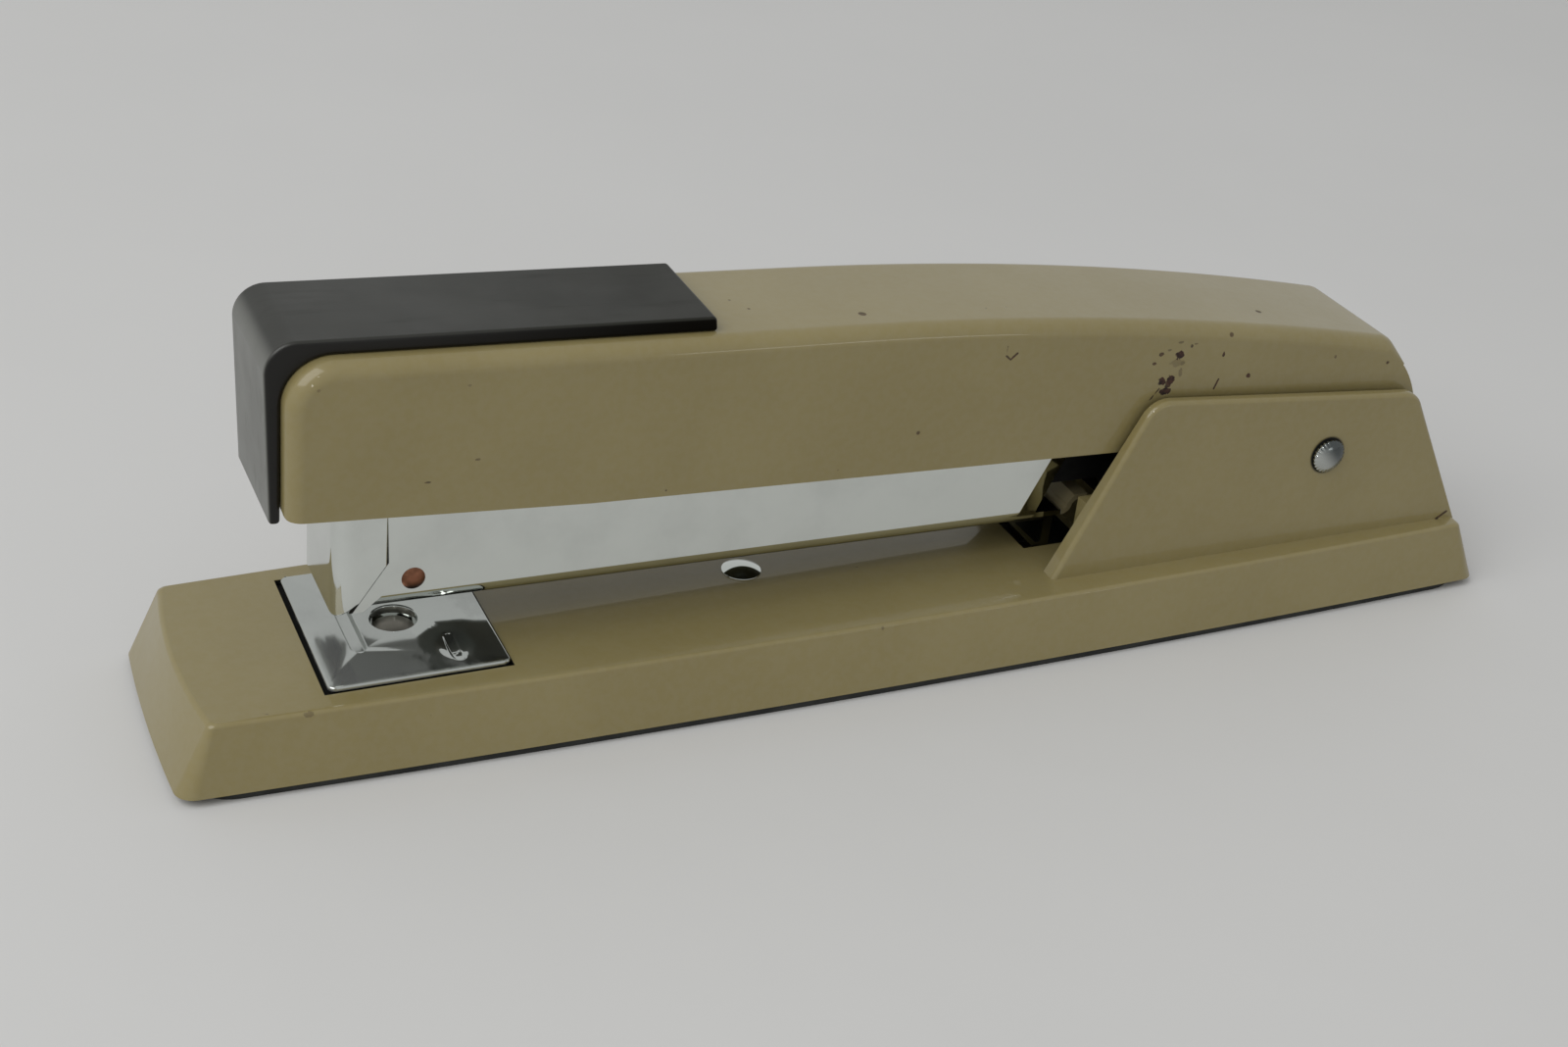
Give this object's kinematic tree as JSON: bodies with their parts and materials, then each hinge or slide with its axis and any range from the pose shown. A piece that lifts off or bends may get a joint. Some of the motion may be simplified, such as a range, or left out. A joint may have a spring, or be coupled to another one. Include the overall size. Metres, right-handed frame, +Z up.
{
  "type": "desk stapler",
  "caption": "Full-strip desk stapler with a painted steel base and cover, a chrome staple magazine, a turning anvil and a black cap.",
  "frame": {"origin": "centre of the underside of the rubber foot, on the surface it stands on", "axes": "+X from the nose towards the hinge along the length, +Y across the width, +Z up"},
  "size_m": [0.1966, 0.0388, 0.0557],
  "materials": {
    "enamel": "gloss",
    "foot_rubber": "matt",
    "cap_plastic": "satin",
    "chrome_plate": "polished",
    "plain_steel": "brushed",
    "spring_steel": "satin",
    "black_steel": "satin",
    "copper_rivet": "satin"
  },
  "bodies": {
    "base": {"base_shell": "enamel", "rubber_foot": "foot_rubber", "base_leaf_spring": "spring_steel", "base_rivet": "chrome_plate", "hinge_pin": "chrome_plate", "ear_washers": "plain_steel", "hinge_spacers": "plain_steel", "anvil_spring": "spring_steel"},
    "anvil_button": {"anvil_button": "plain_steel"},
    "anvil_plate": {"anvil_plate": "chrome_plate"},
    "magazine": {"magazine_channel": "chrome_plate", "nose_plate": "chrome_plate", "staple_rail": "plain_steel", "magazine_arms": "black_steel", "magazine_rivets": "copper_rivet", "magazine_lug": "plain_steel", "lug_rivet": "plain_steel", "pusher_rod": "plain_steel", "pusher_spring": "spring_steel"},
    "pusher": {"staple_pusher": "plain_steel"},
    "cover": {"cover_shell": "enamel", "cap": "cap_plastic", "cap_clips": "spring_steel", "driver_blade": "plain_steel", "driver_spring": "spring_steel", "driver_rivets": "plain_steel"}
  },
  "joints": [
    {"name": "magazine_hinge", "type": "hinge", "parent": "base", "child": "magazine", "pos_m": [0.0669, 0, 0.0243], "axis": [0, 1, 0], "range_deg": [-2.3, 45], "stiffness_Nm_per_rad": 8, "springref_deg": 0.69},
    {"name": "cover_hinge", "type": "hinge", "parent": "magazine", "child": "cover", "pos_m": [0.0669, 0, 0.0243], "axis": [0, 1, 0], "range_deg": [-3.7, 60], "stiffness_Nm_per_rad": 5, "springref_deg": 0.46},
    {"name": "pusher_slide", "type": "slide", "parent": "magazine", "child": "pusher", "axis": [0.9999, 0, -0.0166], "range_m": [0, 0.07], "stiffness_N_per_m": 12, "springref_m": -0.2, "deforming": ["pusher_spring"]},
    {"name": "anvil_lift", "type": "slide", "parent": "base", "child": "anvil_button", "axis": [0, 0, 1], "range_m": [0, 0.0024], "stiffness_N_per_m": 400, "springref_m": -0.002, "deforming": ["anvil_spring"]},
    {"name": "anvil_turn", "type": "hinge", "parent": "anvil_button", "child": "anvil_plate", "pos_m": [-0.0668, 0, 0.0107], "axis": [0, 0, 1], "range_deg": [0, 180]}
  ]
}
